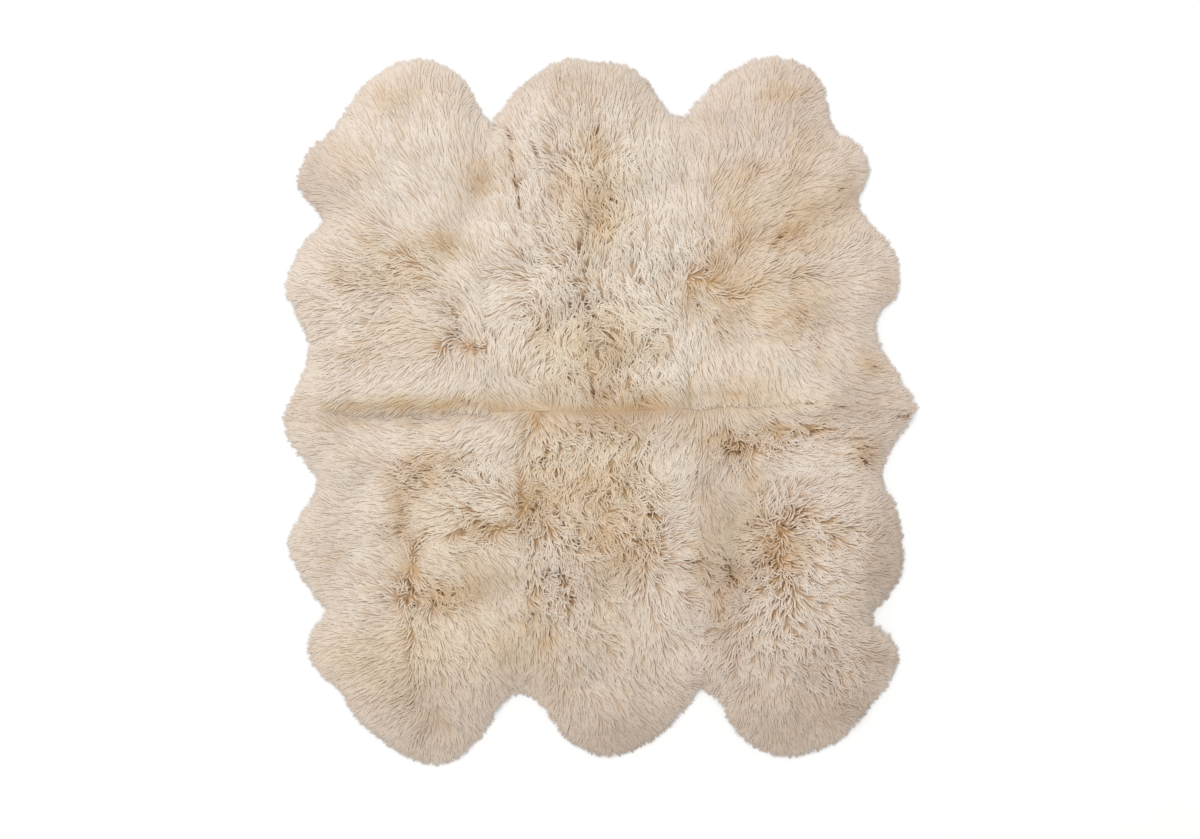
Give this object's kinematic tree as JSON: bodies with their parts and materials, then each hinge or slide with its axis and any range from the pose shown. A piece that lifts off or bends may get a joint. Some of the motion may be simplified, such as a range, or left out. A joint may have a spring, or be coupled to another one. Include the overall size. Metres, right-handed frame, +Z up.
{
  "type": "sheepskin rug",
  "caption": "Floor rug of whole sheepskins sewn edge to edge in two rows, thick cream wool up, with a lobed outline of necks, legs and rumps and flat underside.",
  "frame": {"origin": "on the floor, under the middle of the rug's bounding box", "axes": "+X to the right across the three pelts of a row, +Y up the rug from the lower row to the upper row, +Z up out of the wool"},
  "size_m": [1.6654, 1.8654, 0.0707],
  "materials": {
    "cream_wool": "long combed sheep's wool on the skin, matt cream with tan hollows",
    "suede_hide": "tanned flesh side, fine suede nap"
  },
  "bodies": {
    "root": {"pelt_top_left": "cream_wool", "pelt_top_middle": "cream_wool", "pelt_top_right": "cream_wool", "pelt_bottom_left": "cream_wool", "pelt_bottom_middle": "cream_wool", "pelt_bottom_right": "cream_wool"}
  },
  "joints": []
}
